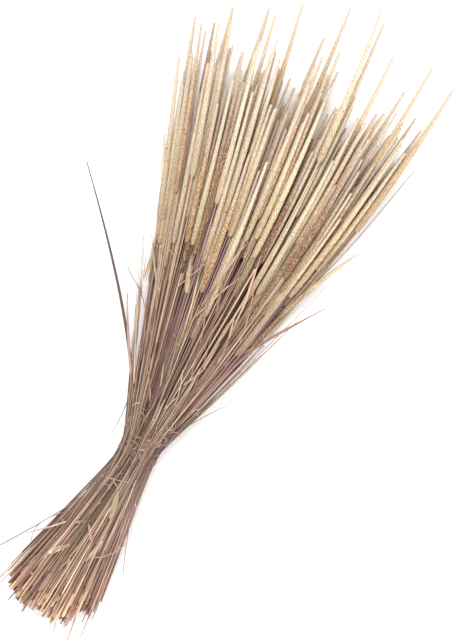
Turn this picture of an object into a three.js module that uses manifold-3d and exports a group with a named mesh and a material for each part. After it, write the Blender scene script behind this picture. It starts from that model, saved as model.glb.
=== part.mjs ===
// A bundle of dried timothy grass, lying on its side.
//
// Long straight stems, each ending in one dense spike, are gathered in a cord tie. They spread
// into a wide fan of spikes at one end and a short brush of cut ends at the other. The bundle
// lies on a flat surface, so its underside is pressed level and its tie hangs a little clear.
//
// Frame: +Y runs along the bundle from the cut ends to the spikes, +X across it and +Z up.
// The origin is under the middle of the bundle, on the surface that it lies on. Inside this file
// a "station" is a distance along +Y from the tie, negative on the side of the cut ends.
// All lengths are in millimetres and all angles in radians.

import * as THREE from "three";
import { mergeVertices } from "three/addons/utils/BufferGeometryUtils.js";
import Module from "manifold-3d";

// ---- Driving dimensions ----

const STEM_COUNT = 54;
const SPIKE_REACH = 494; // tie to the tip of the longest spike
const BUTT_REACH = 182; // tie to the cut ends in the middle of the brush
const SPIKE_LENGTH = 190; // the longest spike
const SPIKE_RADIUS = 3.5;
const BUTT_RADIUS = 1.4; // a stem at its cut end
const NECK_RADIUS = 0.9; // the same stem under its spike

const THROAT_HALF_WIDTH = 18.5; // where the outermost stems pass through the tie
const THROAT_HALF_HEIGHT = 16.5;
const FAN_SPREAD = 0.42; // half width that the spike end gains per millimetre near the tie
const FAN_BOW = 0.0004; // share of that which is lost again per millimetre, as stems bow inwards
const FAN_RISE = 0.12; // half height, in the same way
const BRUSH_SPREAD = 0.215; // the same two for the cut ends
const BRUSH_RISE = 0.13;
const BRUSH_LEAN = 0.12; // how far the cut ends swing towards -X per millimetre
const SPIKE_LEAN = 0.00018; // how hard the spikes bend towards -X, per millimetre squared
const SPIKE_LEAN_FROM = 190;
const TWIST = 0.0004; // turn of the whole bundle about its length, per millimetre

const CORD_RADIUS = 0.55;
const CORD_TURNS = 4;
const CLEARANCE = 0.3; // between pieces that touch in the real bundle

// ---- Shape rules that follow from them ----

const SETTLE = 4.5; // how far the underside would sink into the surface if it didn't bend
const LYING_BY = 150; // station at which the bundle lies fully on the surface
const TIE_LIFT = 7.0; // gap under the gathered stems at the tie
const BEND_LENGTH = 8; // the stretch in which stems turn outwards on both sides of the tie

// The stems that stand out at the top of the fan, as [share of the half width, share of
// SPIKE_REACH]. They give the fan its ragged outline.
const LEADERS = [
  [-0.84, 0.855],
  [-0.82, 0.76],
  [-0.64, 0.85],
  [-0.59, 0.91],
  [-0.49, 0.825],
  [-0.37, 0.94],
  [-0.33, 0.92],
  [-0.19, 0.955],
  [-0.22, 0.85],
  [-0.02, 0.93],
  [0.06, 1.0],
  [0.10, 0.9],
  [0.15, 0.885],
  [0.25, 1.0],
  [0.28, 0.985],
  [0.41, 0.94],
  [0.56, 0.905],
  [0.64, 0.96],
  [0.66, 0.865],
  [0.75, 0.85],
  [0.85, 0.95],
  [0.82, 0.93],
];
const BODY_REACH = 0.8; // the other stems reach this share of SPIKE_REACH at most
const BODY_SCATTER = 0.2; // and fall short of that by up to this share
const SPIKE_SCATTER = 0.32; // how much shorter than SPIKE_LENGTH a spike can be, as a share
const EDGE_FROM = 0.75; // body stems further out than this share of the half width are shorter
const EDGE_DROP = 0.1; // how much shorter at the very edge, as a share of SPIKE_REACH
const SIDE_CROWDING = 0.84; // 1 fills the bundle evenly, and less than 1 crowds its sides
const BUTT_ARCH = 24; // the cut ends at the edges stop this much nearer to the tie
const BUTT_SCATTER = 9;

const ROOM_STEP = 5; // steps in which the room for a spike is looked for
const STEM_SIDES = 6;
const TIE_STRETCH = 5; // stems run straight and parallel this far to both sides of the tie
const CULM_RINGS = [TIE_STRETCH, 15, 30, 58, 98, 150, 215, 290, 370]; // stations, both ways
const LEAST_STEP = 12; // no two rings of a bare stem lie nearer to each other
const SPIKE_FORM = [
  // share of the spike's length, share of its full radius
  [0.0, 0.4],
  [0.03, 0.88],
  [0.11, 1.0],
  [0.48, 0.97],
  [0.74, 0.78],
  [0.93, 0.48],
];

// Loose leaf blades caught in the tie, each on a spot of its own among the stems, on one side and
// at a level between the bottom (-1) and the top (1). They run from one station to another, and
// swing out of the bundle after they leave it.
const BLADE_WIDTH = 2.6;
const BLADE_THICKNESS = 0.7;
const BLADES = [
  { side: -1, level: 0.0, from: -55, to: 243, leaves: 55, swing: 74, rise: 10 },
  { side: 1, level: 0.5, from: -40, to: 214, leaves: 135, swing: 30, rise: 16 },
  { side: 1, level: -0.3, from: -60, to: 99, leaves: 24, swing: 25, rise: 6 },
  { side: -1, level: 0.45, from: -148, to: 50, leaves: -48, swing: 33, rise: 14 },
  { side: 1, level: 0.1, from: -122, to: 60, leaves: -60, swing: 14, rise: 12 },
];

const GOLDEN_ANGLE = Math.PI * (3 - Math.sqrt(5));
const SPOT_COUNT = STEM_COUNT + BLADES.length;

// ---- Helpers ----

// Numbers from 0 to 1 that scatter evenly as the index goes up.
const scatter = (index, step) => (index * step + 0.5) % 1;
const smooth = (t) => THREE.MathUtils.smoothstep(t, 0, 1);

// Spots in a unit circle, filled evenly from the middle outwards. A little more room is left in
// the middle than at the sides, because a bundle that lies down spreads sideways.
function spot(index) {
  const ring = Math.sqrt((index + 0.5) / SPOT_COUNT);
  const even = new THREE.Vector2(ring, 0).rotateAround(new THREE.Vector2(), index * GOLDEN_ANGLE);
  return new THREE.Vector2(Math.sign(even.x) * Math.abs(even.x) ** SIDE_CROWDING, even.y);
}

const spots = Array.from({ length: SPOT_COUNT }, (_, index) => spot(index));

// How far the bundle has opened at a distance from the tie: nothing in the tie itself, and then
// evenly once the stems have turned outwards.
function opening(station) {
  const away = Math.max(0, Math.abs(station) - TIE_STRETCH);
  return Math.hypot(away, BEND_LENGTH) - BEND_LENGTH;
}

// Where a stem on a spot passes at a station. Every stem keeps its own share of the bundle's
// width and height, so stems never cross, and one that would sink in the surface lies on it.
function passesAt(place, station, radius) {
  const heads = station > 0;
  const open = opening(station);
  const spread = heads ? FAN_SPREAD * (1 - FAN_BOW * open) : BRUSH_SPREAD;
  const halfWidth = THROAT_HALF_WIDTH + open * spread;
  const halfHeight = THROAT_HALF_HEIGHT + open * (heads ? FAN_RISE : BRUSH_RISE);
  const lying = smooth(open / LYING_BY);
  const turned = turnedPlace(place, station);
  const rim = Math.sqrt(Math.max(0, 1 - turned.x ** 2));
  const level = THREE.MathUtils.lerp(1, rim, lying);
  const free = halfHeight * (turned.y + level) + TIE_LIFT * (1 - lying) - SETTLE * lying;
  const x = halfWidth * turned.x - lean(station);
  return new THREE.Vector3(x, station, Math.max(free + radius, radius));
}

// A spot as the bundle's twist has turned it at a station.
function turnedPlace(place, station) {
  const turn = TWIST * opening(station) * Math.sign(station);
  return place.clone().rotateAround(new THREE.Vector2(), turn);
}

// How far the middle of the bundle lies towards -X at a station.
function lean(station) {
  if (station < 0) return BRUSH_LEAN * opening(station);
  return SPIKE_LEAN * Math.max(0, station - SPIKE_LEAN_FROM) ** 2;
}

// Turns a straight solid of revolution about Y into one that follows a route, sideways only, so
// that each of its rings stays square to Y.
function bendAlong(geometry, route) {
  const points = geometry.getAttribute("position");
  for (let i = 0; i < points.count; i++) {
    const centre = route(points.getY(i));
    points.setX(i, points.getX(i) + centre.x);
    points.setZ(i, points.getZ(i) + centre.z);
  }
  return geometry;
}

// A solid of revolution whose flats face up, down and sideways. The outline is a list of
// [radius, station], and starts and ends on the axis.
function turnedSolid(outline, sides) {
  const profile = outline.map(([radius, station]) => new THREE.Vector2(radius, station));
  return new THREE.LatheGeometry(profile, sides, Math.PI / sides);
}

// Half the distance between opposite flats, as a share of the radius.
const flatShare = (sides) => Math.cos(Math.PI / sides);

// ---- Stems ----

// How far a stem that isn't a leader reaches from the tie.
function bodyReach(index, place) {
  const outward = Math.max(0, (Math.abs(place.x) - EDGE_FROM) / (1 - EDGE_FROM));
  return SPIKE_REACH * (BODY_REACH - BODY_SCATTER * scatter(index, 0.618034) - EDGE_DROP * outward);
}

function stemOutline(index, place, tip) {
  const spike = SPIKE_LENGTH * (1 - SPIKE_SCATTER * scatter(index, 0.5698403));
  const butt =
    -BUTT_REACH + BUTT_ARCH * place.x ** 2 + BUTT_SCATTER * (scatter(index, 0.3247179) - 0.5);
  const neck = Math.max(tip - spike, roomForSpike(place, tip));
  const rings = [...CULM_RINGS.map((at) => -at).reverse(), ...CULM_RINGS].filter(
    (at) => at > butt + LEAST_STEP && at < neck - LEAST_STEP,
  );
  const outline = [[0, butt]];
  for (const at of [butt, ...rings]) {
    const share = (at - butt) / (neck - butt);
    outline.push([THREE.MathUtils.lerp(BUTT_RADIUS, NECK_RADIUS, share), at]);
  }
  for (const [along, thick] of SPIKE_FORM)
    outline.push([SPIKE_RADIUS * thick, THREE.MathUtils.lerp(neck, tip, along)]);
  outline.push([0, tip]);
  return outline;
}

// The station nearest to the tie from which a stem's spike has room among all the others.
function roomForSpike(place, tip) {
  const others = spots.filter((other) => other !== place);
  const hasRoom = (station) => {
    const centre = passesAt(place, station, SPIKE_RADIUS);
    return others.every(
      (other) =>
        passesAt(other, station, SPIKE_RADIUS).distanceTo(centre) >= 2 * SPIKE_RADIUS + CLEARANCE,
    );
  };
  let station = tip;
  while (station - ROOM_STEP > 0 && hasRoom(station - ROOM_STEP)) station -= ROOM_STEP;
  return station;
}

function makeStem(index, place, tip, material) {
  const outline = stemOutline(index, place, tip);
  const radiusAt = (station) => {
    const ring = outline.filter(([, at]) => Math.abs(at - station) < 1e-3);
    return Math.max(...ring.map(([radius]) => radius)) * flatShare(STEM_SIDES);
  };
  const geometry = bendAlong(turnedSolid(outline, STEM_SIDES), (station) =>
    passesAt(place, station, radiusAt(station)),
  );
  const stem = new THREE.Mesh(geometry, material);
  stem.name = "stem_" + String(index + 1).padStart(2, "0");
  return stem;
}

// ---- Loose leaf blades ----

const BLADE_RINGS = 14;

function makeBlade(number, blade, place, material) {
  const outline = [[0, blade.from]];
  for (let ring = 1; ring < BLADE_RINGS; ring++) {
    const share = ring / BLADE_RINGS;
    const width = Math.sqrt(Math.sin(Math.PI * Math.min(0.5, 0.9 - 0.85 * share)));
    outline.push([(BLADE_WIDTH / 2) * width, THREE.MathUtils.lerp(blade.from, blade.to, share)]);
  }
  outline.push([0, blade.to]);
  const geometry = turnedSolid(outline, 4);
  geometry.scale(1 / flatShare(4), 1, BLADE_THICKNESS / BLADE_WIDTH / flatShare(4));
  const end = Math.abs(blade.leaves) > Math.abs(blade.to) ? blade.from : blade.to;
  const tail = blade.leaves < 0 ? blade.from : end;
  bendAlong(geometry, (station) => {
    const out = Math.max(0, (station - blade.leaves) / (tail - blade.leaves));
    const centre = passesAt(place, station, BLADE_THICKNESS);
    centre.x += blade.side * blade.swing * out ** 1.4;
    centre.z += blade.rise * smooth(out);
    return centre;
  });
  const leaf = new THREE.Mesh(geometry, material);
  leaf.name = "leaf_blade_" + number;
  return leaf;
}

// ---- The cord tie ----

const wasm = await Module();
wasm.setup();

function solidOf(geometry) {
  const bare = geometry.index ? geometry : geometry.clone();
  bare.deleteAttribute("normal");
  bare.deleteAttribute("uv");
  const merged = mergeVertices(bare, 1e-4);
  return new wasm.Manifold(
    new wasm.Mesh({
      numProp: 3,
      vertProperties: merged.getAttribute("position").array,
      triVerts: new Uint32Array(merged.index.array),
    }),
  );
}

function geometryOf(solid) {
  const mesh = solid.getMesh();
  const geometry = new THREE.BufferGeometry();
  geometry.setAttribute("position", new THREE.BufferAttribute(mesh.vertProperties, 3));
  geometry.setIndex(new THREE.BufferAttribute(mesh.triVerts, 1));
  return geometry;
}

function cordAlong(points, steps) {
  const section = new THREE.Shape();
  section.absarc(0, 0, CORD_RADIUS, 0, 2 * Math.PI);
  return new THREE.ExtrudeGeometry(section, {
    curveSegments: 6,
    steps,
    bevelEnabled: false,
    extrudePath: new THREE.CatmullRomCurve3(points),
  });
}

const KNOT_ANGLE = -0.62 * Math.PI; // under the bundle, towards -X
const KNOT_RADIUS = 1.9;
const TAIL_LENGTH = 9;
const TURN_POINTS = 14;
const TURN_STEPS = 28;

function makeTie(material) {
  const pitch = 2 * CORD_RADIUS + CLEARANCE;
  const stemSurface = BUTT_RADIUS + CLEARANCE + CORD_RADIUS;
  const centreHeight = THROAT_HALF_HEIGHT + TIE_LIFT + BUTT_RADIUS * flatShare(STEM_SIDES);
  const onRing = (angle, along, outwards) =>
    new THREE.Vector3(
      (THROAT_HALF_WIDTH + stemSurface + outwards) * Math.cos(angle),
      along,
      centreHeight + (THROAT_HALF_HEIGHT + stemSurface + outwards) * Math.sin(angle),
    );
  const turns = [];
  for (let i = 0; i <= CORD_TURNS * TURN_POINTS; i++) {
    const turn = i / TURN_POINTS;
    turns.push(onRing(KNOT_ANGLE + 2 * Math.PI * turn, (turn - CORD_TURNS / 2) * pitch, 0));
  }
  const knot = new THREE.SphereGeometry(KNOT_RADIUS, 10, 8);
  knot.scale(1, (CORD_TURNS * pitch) / 2 / KNOT_RADIUS + 0.35, 1);
  const knotAt = onRing(KNOT_ANGLE, 0, KNOT_RADIUS - CORD_RADIUS);
  knot.translate(knotAt.x, knotAt.y, knotAt.z);
  const tail = (side) =>
    cordAlong(
      [0, 0.5, 1].map((share) =>
        onRing(
          KNOT_ANGLE + 0.28 * side * share,
          side * (1.2 + TAIL_LENGTH * share),
          CORD_RADIUS + 0.5,
        ),
      ),
      5,
    );
  const whole = [cordAlong(turns, CORD_TURNS * TURN_STEPS), knot, tail(-1), tail(1)]
    .map(solidOf)
    .reduce((joined, piece) => joined.add(piece));
  const tie = new THREE.Mesh(geometryOf(whole), material);
  tie.name = "tie_cord";
  return tie;
}

// ---- The bundle ----

const driedStem = new THREE.MeshStandardMaterial({ color: 0xc9ae88, roughness: 0.85 });
const driedLeaf = new THREE.MeshStandardMaterial({ color: 0x9c8068, roughness: 0.8 });
const strawCord = new THREE.MeshStandardMaterial({ color: 0xb59a76, roughness: 0.9 });

// Takes the free spot that comes nearest by a measure out of the list and returns it.
function takeSpot(free, distance) {
  const nearest = free.reduce((best, place) => (distance(place) < distance(best) ? place : best));
  free.splice(free.indexOf(nearest), 1);
  return nearest;
}

const bundle = new THREE.Group();
const free = [...spots];
BLADES.forEach((blade, index) => {
  const beside = new THREE.Vector2(blade.side, blade.level);
  const place = takeSpot(free, (place) => place.distanceTo(beside));
  bundle.add(makeBlade(index + 1, blade, place, driedLeaf));
});
const reaches = new Map();
for (const [across, share] of LEADERS) {
  const tip = share * SPIKE_REACH;
  const place = takeSpot(free, (place) => Math.abs(turnedPlace(place, tip).x - across));
  reaches.set(place, tip);
}
spots
  .filter((place) => free.includes(place) || reaches.has(place))
  .forEach((place, index) => {
    const tip = reaches.get(place) ?? bodyReach(index, place);
    bundle.add(makeStem(index, place, tip, driedStem));
  });
bundle.add(makeTie(strawCord));

// The origin goes under the middle of the bundle, on the surface.
const bounds = new THREE.Box3().setFromObject(bundle, true);
const middle = bounds.getCenter(new THREE.Vector3());
bundle.position.set(-middle.x, -middle.y, -bounds.min.z);

export default bundle;
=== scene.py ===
"""A bundle of dried timothy grass, lying on its side: the finished surfaces of its pieces."""

import contextlib
import functools
import math
import random

import bmesh
import bpy
import numpy as np
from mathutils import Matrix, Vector


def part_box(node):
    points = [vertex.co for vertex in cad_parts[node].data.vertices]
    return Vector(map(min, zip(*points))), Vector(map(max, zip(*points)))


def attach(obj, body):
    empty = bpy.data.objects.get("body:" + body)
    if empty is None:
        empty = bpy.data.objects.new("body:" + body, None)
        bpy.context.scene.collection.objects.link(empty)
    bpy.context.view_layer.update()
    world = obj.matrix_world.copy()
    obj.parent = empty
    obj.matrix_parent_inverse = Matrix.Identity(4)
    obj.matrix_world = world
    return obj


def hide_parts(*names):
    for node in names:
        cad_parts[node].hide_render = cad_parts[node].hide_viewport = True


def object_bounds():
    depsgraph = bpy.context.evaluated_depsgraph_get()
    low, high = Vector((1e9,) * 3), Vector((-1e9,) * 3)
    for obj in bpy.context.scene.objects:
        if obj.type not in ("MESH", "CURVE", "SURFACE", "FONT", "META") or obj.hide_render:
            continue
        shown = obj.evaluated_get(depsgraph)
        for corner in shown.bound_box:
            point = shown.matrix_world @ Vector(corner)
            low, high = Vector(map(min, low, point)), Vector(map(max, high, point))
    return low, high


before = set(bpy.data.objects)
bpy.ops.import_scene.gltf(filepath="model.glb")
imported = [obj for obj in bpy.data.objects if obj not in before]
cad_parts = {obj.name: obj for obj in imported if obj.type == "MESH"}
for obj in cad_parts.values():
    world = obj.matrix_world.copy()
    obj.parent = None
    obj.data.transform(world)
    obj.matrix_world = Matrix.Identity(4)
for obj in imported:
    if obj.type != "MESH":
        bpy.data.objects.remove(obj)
CAD_BOX = [list(corner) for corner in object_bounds()]

bl_info = {
    "name": "Dried timothy bundle",
    "version": (1, 0, 0),
    "blender": (4, 5, 0),
    "location": "3D View > Sidebar > Timothy",
    "description": "Models the stems, spikes, leaves and tie of a bundle of dried timothy grass",
    "category": "Object",
}

MM = 0.001

# ---- Places taken from the frame ----

TIE_LOW, TIE_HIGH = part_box("tie_cord")
TIE = (TIE_LOW + TIE_HIGH) / 2
STEM_NODES = sorted(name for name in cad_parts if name.startswith("stem_"))
BLADE_NODES = sorted(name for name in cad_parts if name.startswith("leaf_blade_"))
BUTT_END = CAD_BOX[0][1]
SPIKE_END = CAD_BOX[1][1]
SPIKE_RINGS = 7  # rings of a frame stem that belong to its spike, with its tip

# ---- Forms of the modelled pieces ----

SPIKE_MASTER_RADIUS = 4.0 * MM
SPIKE_MASTER_LENGTH = 180 * MM
SPIKELET_RELIEF = 0.8 * MM
SPIKE_PROFILE = [  # share of the length, share of the full radius
    (0.0, 0.4),
    (0.012, 0.78),
    (0.04, 0.94),
    (0.1, 1.0),
    (0.3, 0.96),
    (0.5, 0.82),
    (0.7, 0.66),
    (0.85, 0.55),
    (0.95, 0.47),
    (0.99, 0.39),
    (1.0, 0.22),
]
SPIKE_COLUMNS, SPIKE_ROWS = 20, 104  # points round a spike and rings along it; half are spikelets
CULM_MASTER_RADIUS = 1.0 * MM
CULM_MASTER_LENGTH = 480 * MM
SHEATH_THICKNESS = 0.13  # how much a leaf sheath adds to a culm, as a share of its radius
NODE_MARK = 0.5  # how the points of a node are marked, where 1 is a sheath and 0 the bare culm
NODE_SHARE = 1.28  # thickness of a node, as a share of the culm's
CULM_FORMS = [  # stretches of each culm that a leaf sheath covers, as shares of its length
    [(0.06, 0.27), (0.34, 0.52)],
    [(0.12, 0.36), (0.58, 0.75)],
    [(0.02, 0.16), (0.24, 0.47), (0.63, 0.8)],
    [(0.18, 0.31), (0.42, 0.66)],
]
RIBBON_LEAST = 0.38  # width of a dry leaf at its ends, as a share of its full width
GRAIN_STEP = 20 * MM  # length of a piece that counts as one in its streaks
SMOOTH_BELOW = math.radians(50)

# Where added stems, straws and sheath leaves begin and end along +Y: the least, the most and, with
# a third number, the likeliest. Butts are measured from the bundle's end, and starts and straws'
# ends from the tie.
FILLER_TIPS = (0.135, 0.282, 0.245)
FILLER_SPIKE_LENGTHS = (0.125, 0.19)
FILLER_BUTTS = (-0.01, 0.03, 0.012)
STRAW_BUTTS = (-0.014, 0.06, 0.012)
STRAW_ENDS = (0.05, 0.24)
BRUSH_LEAF_STARTS = (-0.165, -0.07)
FAN_LEAF_STARTS = (0.01, 0.17)
LEAF_LENGTHS = (0.035, 0.1)

INNER_REACH = 0.75  # stems nearer to the middle than this share are inside the bundle
INNER_PAINTED_SHADE = 0.45  # painted shade: brightness of culms inside the bundle, darker than those outside
SPIKE_FAMILIES = {0.1: 23, 0.3: 24, 0.5: 16, 0.75: 17, 0.97: 20}  # with how often each comes
CULM_FAMILIES = {0.0: 20, 0.28: 17, 0.5: 19, 0.72: 17, 0.88: 17, 1.0: 10}
LEADER_REACH = 65 * MM  # stems that end this near the end of the bundle have no brown spike
# painted shade between the spikelets of the pale spikes
PALE_GAP_PAINTED_SHADE = (0.5, 0.4, 0.3)

# The bake map of a rod: where its two ends lie and their scale, and the space of its strips.
CAP_MIDDLES = ((0.975, 0.02), (0.975, 0.06))
CAP_SCALE = 0.0072 / SPIKE_MASTER_RADIUS
STRIP_LENGTH, STRIP_WIDTH = 0.93, 0.8

# Stems that have slipped down on the outside: the routes of culm and spike, as stations, places
# across and how far they lie above the middle of the nearest stem.
STRAY_STEMS = [
    (
        [(-150, 8, 0), (-60, 12, 0), (0, 14, -2), (60, 26, 0), (120, 43, 0), (189, 68, 0)],
        [(186, 67, 0), (205, 75, 0), (230, 86, 0), (252, 97, 0), (276, 110, 0)],
        (0.25, 0.6),
    ),
    (
        [(-150, -34, 0), (-60, -20, 0), (0, -12, 1), (60, -27, 0), (110, -40, 0), (156, -52, 0)],
        [(153, -51, 0), (190, -66, 0), (230, -84, 0), (265, -100, 0), (300, -115, 0)],
        (0.3, 0.8),
    ),
    (
        [(-150, -22, 2), (-60, -12, 2), (0, -6, 3), (60, -10, 3), (110, -17, 3), (170, -26, 4)],
        [(167, -25, 4), (195, -35, 4), (220, -44, 4), (245, -53, 4), (270, -62, 4)],
        (0.1, 0.7),
    ),
]

BLADE_FORMS = [  # share of the full width, turns of its twist, waviness, family and brightness
    (0.8, 0.06, 1.2, (0.0, 0.3)),
    (1.15, 1.2, 3.5, (0.35, 0.5)),
    (0.35, 0.4, 1.0, (0.2, 0.7)),
    (0.45, 0.9, 2.6, (0.1, 0.7)),
    (0.3, 0.6, 1.0, (0.3, 0.6)),
]

# Flakes of broken sheath that lie on the stems: station and place across at the middle, heading
# from +Y in degrees, length and width in millimetres, colour family and brightness.
FLAKES = [
    (-54, 2, -10, 28, 6.5, (0.8, 0.25)),
    (-116, -28, 42, 24, 5.5, (0.95, 0.9)),
    (-83, -20, 60, 15, 3.2, (0.45, 0.5)),
    (-88, -8, -35, 18, 2.6, (0.4, 0.6)),
    (-104, 4, 15, 26, 3.5, (0.7, 0.9)),
    (-128, -12, -20, 22, 4.5, (0.4, 0.5)),
    (-150, -42, 70, 12, 4, (0.7, 0.4)),
    (-157, -5, 35, 14, 4, (0.7, 0.4)),
    (96, 18, 26, 28, 2.4, (0.4, 0.6)),
    (122, 24, 6, 30, 2.2, (0.45, 0.7)),
    (84, -12, -18, 24, 2.0, (0.7, 0.4)),
    (134, -6, 4, 22, 2.4, (0.5, 0.4)),
    (140, 52, 44, 20, 3.0, (0.5, 0.7)),
    (62, 8, 20, 18, 1.8, (0.6, 0.6)),
]

# Strands that hang loose beside the bundle, each with its radius, its colour family and its route
# from where it leaves the stems: stations along +Y from the tie, places across and heights.
LOOSE_STRANDS = [
    (0.5, 0.1, [(166, -92, 24), (158, -84, 25), (152, -70, 27), (140, -60, 29), (126, -52, 30)]),
    (1.5, 0.4, [(48, -28, 30), (66, -38, 31), (90, -53, 33), (115, -67, 34), (142, -80, 33)]),
    (1.2, 0.65, [(64, -34, 38), (92, -47, 39), (118, -58, 38), (141, -67, 37)]),
    (0.55, 0.15, [(62, -34, 26), (42, -32, 22), (24, -31, 18), (6, -33, 14)]),
    (
        0.55,
        0.1,
        [(165, 58, 30), (212, 78, 32), (262, 96, 34), (310, 109, 38), (352, 119, 41), (376, 125, 43)],
    ),
    (0.5, 0.3, [(-70, -24, 44), (-84, -42, 42), (-100, -58, 36), (-118, -62, 30), (-128, -56, 26)]),
    (0.95, 0.75, [(-90, -34, 53), (-104, -48, 52), (-118, -65, 46)]),
    (0.5, 0.8, [(-114, -6, 58), (-110, 8, 60), (-101, 22, 50), (-86, 31, 38), (-70, 29, 32)]),
    (0.5, 0.9, [(-34, -23, 40), (-33, -14, 46), (-30, -4, 50), (-28, 5, 51)]),
    (0.7, 0.6, [(-150, -30, 52), (-158, -36, 50), (-176, -46, 44), (-194, -50, 38)]),
    (0.5, 0.3, [(-150, -6, 50), (-172, -2, 46), (-190, 0, 40), (-206, 6, 34)]),
    (0.6, 0.2, [(-140, 12, 50), (-168, 16, 44), (-190, 18, 36), (-208, 20, 30)]),
]


# ---- Selecting and shaping ----


def deselect_all():
    """Nothing stays selected, so that the next operator acts on new pieces only."""
    if bpy.context.object and bpy.context.object.mode != "OBJECT":
        bpy.ops.object.mode_set(mode="OBJECT")
    bpy.ops.object.select_all(action="DESELECT")


def make_active(piece):
    deselect_all()
    piece.select_set(True)
    bpy.context.view_layer.objects.active = piece


def apply_modifier(piece, modifier):
    make_active(piece)
    bpy.ops.object.modifier_apply(modifier=modifier.name)


@contextlib.contextmanager
def editing(piece):
    """Edit mode on one piece."""
    make_active(piece)
    bpy.ops.object.mode_set(mode="EDIT")
    yield
    bpy.ops.object.mode_set(mode="OBJECT")


def pick(piece, kind, wanted):
    """Selects those of an edited piece's vertices, edges or faces that pass a test."""
    bpy.ops.mesh.select_mode(type=kind)
    bpy.ops.mesh.select_all(action="DESELECT")
    cage = bmesh.from_edit_mesh(piece.data)
    cage.verts.index_update()
    for part in {"VERT": cage.verts, "EDGE": cage.edges, "FACE": cage.faces}[kind]:
        part.select_set(bool(wanted(part)))
    cage.select_flush_mode()
    bmesh.update_edit_mesh(piece.data)


def add_object(name, data):
    added = bpy.data.objects.new(name, data)
    bpy.context.scene.collection.objects.link(added)
    return added


def remove_pieces(pieces):
    for piece in pieces:
        bpy.data.objects.remove(piece)


def even_stations(rows):
    return [row / rows for row in range(rows + 1)]


def values_of(data, key, width):
    """The values of a mesh layer, one row for each of its points or corners."""
    values = np.empty(len(data) * width)
    data.foreach_get(key, values)
    return values.reshape(-1, width)


def add_rod(name, sides, radius, length, rows, strips):
    """A closed rod along +Y from the origin, in equal rows, with its bake map."""
    deselect_all()
    bpy.ops.mesh.primitive_cylinder_add(
        vertices=sides,
        radius=radius,
        depth=length,
        location=(0, length / 2, 0),
        rotation=(-math.pi / 2, 0, 0),
    )
    bpy.ops.object.transform_apply(location=True, rotation=True, scale=True)
    rod = bpy.context.object
    rod.name = name
    with editing(rod):
        pick(rod, "EDGE", runs_lengthwise)
        bpy.ops.mesh.subdivide(number_cuts=rows - 1)
    lay_out_strips(rod, length, rows, strips)
    return rod


def runs_lengthwise(edge):
    return abs((edge.verts[1].co - edge.verts[0].co).normalized().y) > 0.9


def shape_rings(piece, length, stations, radii):
    """Moves ring after ring to its station along Y and scales it to its share of the radius."""
    rows = len(stations) - 1
    ring_of = [round(vertex.co.y / length * rows) for vertex in piece.data.vertices]
    with editing(piece):
        for row, (station, radius) in enumerate(zip(stations, radii)):
            pick(piece, "VERT", lambda vertex: ring_of[vertex.index] == row)
            level = length * row / rows
            bpy.ops.transform.resize(value=(radius, 1, radius), center_override=(0, level, 0))
            bpy.ops.transform.translate(value=(0, station * length - level, 0))


def lay_out_strips(piece, length, rows, strips):
    """A bake map of a rod: its side in equal strips above each other, its ends beside them."""
    mesh = piece.data
    bake_map = mesh.uv_layers[0]
    bake_map.name = "OFBake"
    rows_in_strip = math.ceil(rows / strips)
    for face in mesh.polygons:
        at_end = abs(face.normal.y) > 0.9
        strip = int(face.center.y / length * rows) // rows_in_strip
        middle = math.atan2(face.center.z, face.center.x)
        for loop in face.loop_indices:
            place = mesh.vertices[mesh.loops[loop].vertex_index].co
            if at_end:
                cap = CAP_MIDDLES[face.center.y > length / 2]
                spot = (cap[0] + CAP_SCALE * place.x, cap[1] + CAP_SCALE * place.z)
            else:
                turn = math.atan2(place.z, place.x)
                turn += math.tau * round((middle - turn) / math.tau)
                along = (place.y / length * rows - strip * rows_in_strip) / rows_in_strip
                around = 0.5 + turn / math.tau
                spot = (0.005 + STRIP_LENGTH * along, (strip + 0.06 + STRIP_WIDTH * around) / strips)
            bake_map.data[loop].uv = spot


def mark_grain(piece, length, marks):
    """Keeps each point's turn and distance along the piece, for streaks that follow it."""
    mesh = piece.data
    co = values_of(mesh.vertices, "co", 3)
    out = np.maximum(np.hypot(co[:, 0], co[:, 2]), 1e-7)
    grain = np.stack([co[:, 0] / out, co[:, 2] / out, co[:, 1] / GRAIN_STEP], axis=1)
    mesh.attributes.new("grain", "FLOAT_VECTOR", "POINT").data.foreach_set("vector", grain.ravel())
    look = np.zeros((len(co), 4))
    look[:, 2], look[:, 3] = co[:, 1] / length, marks
    mesh.attributes.new("look", "FLOAT_COLOR", "POINT").data.foreach_set("color", look.ravel())


def drop_bake_map(piece):
    """Takes the bake map and any other UV map off a small piece."""
    while piece.data.uv_layers:
        piece.data.uv_layers.remove(piece.data.uv_layers[0])


def twist_along(piece, angle):
    twist = piece.modifiers.new("Twist", "SIMPLE_DEFORM")
    twist.deform_method = "TWIST"
    twist.deform_axis = "Y"
    twist.angle = angle
    apply_modifier(piece, twist)


def spike_share(station):
    """Thickness of a spike at a share of its length, as a share of its full radius."""
    shares, sizes = zip(*SPIKE_PROFILE)
    return np.interp(station, shares, sizes)


def model_spike(name, seed):
    """One ripe spike along +Y: a tapering core set all round with spikelets, row between row."""
    core = SPIKE_MASTER_RADIUS - SPIKELET_RELIEF
    spike = add_rod(name, SPIKE_COLUMNS, core, SPIKE_MASTER_LENGTH, SPIKE_ROWS, 4)
    stations = even_stations(SPIKE_ROWS)
    chance = random.Random(seed)
    radii = [spike_share(station) * chance.uniform(0.97, 1.03) for station in stations]
    shape_rings(spike, SPIKE_MASTER_LENGTH, stations, radii)
    crests = raise_spikelets(spike, SPIKE_MASTER_RADIUS / core, seed)
    # The crests keep their tone; the points between them get the painted shade of the gaps.
    mark_grain(spike, SPIKE_MASTER_LENGTH, crests)
    twist_along(spike, math.radians(200 + 60 * seed))
    bpy.ops.object.shade_smooth()
    return spike


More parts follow.
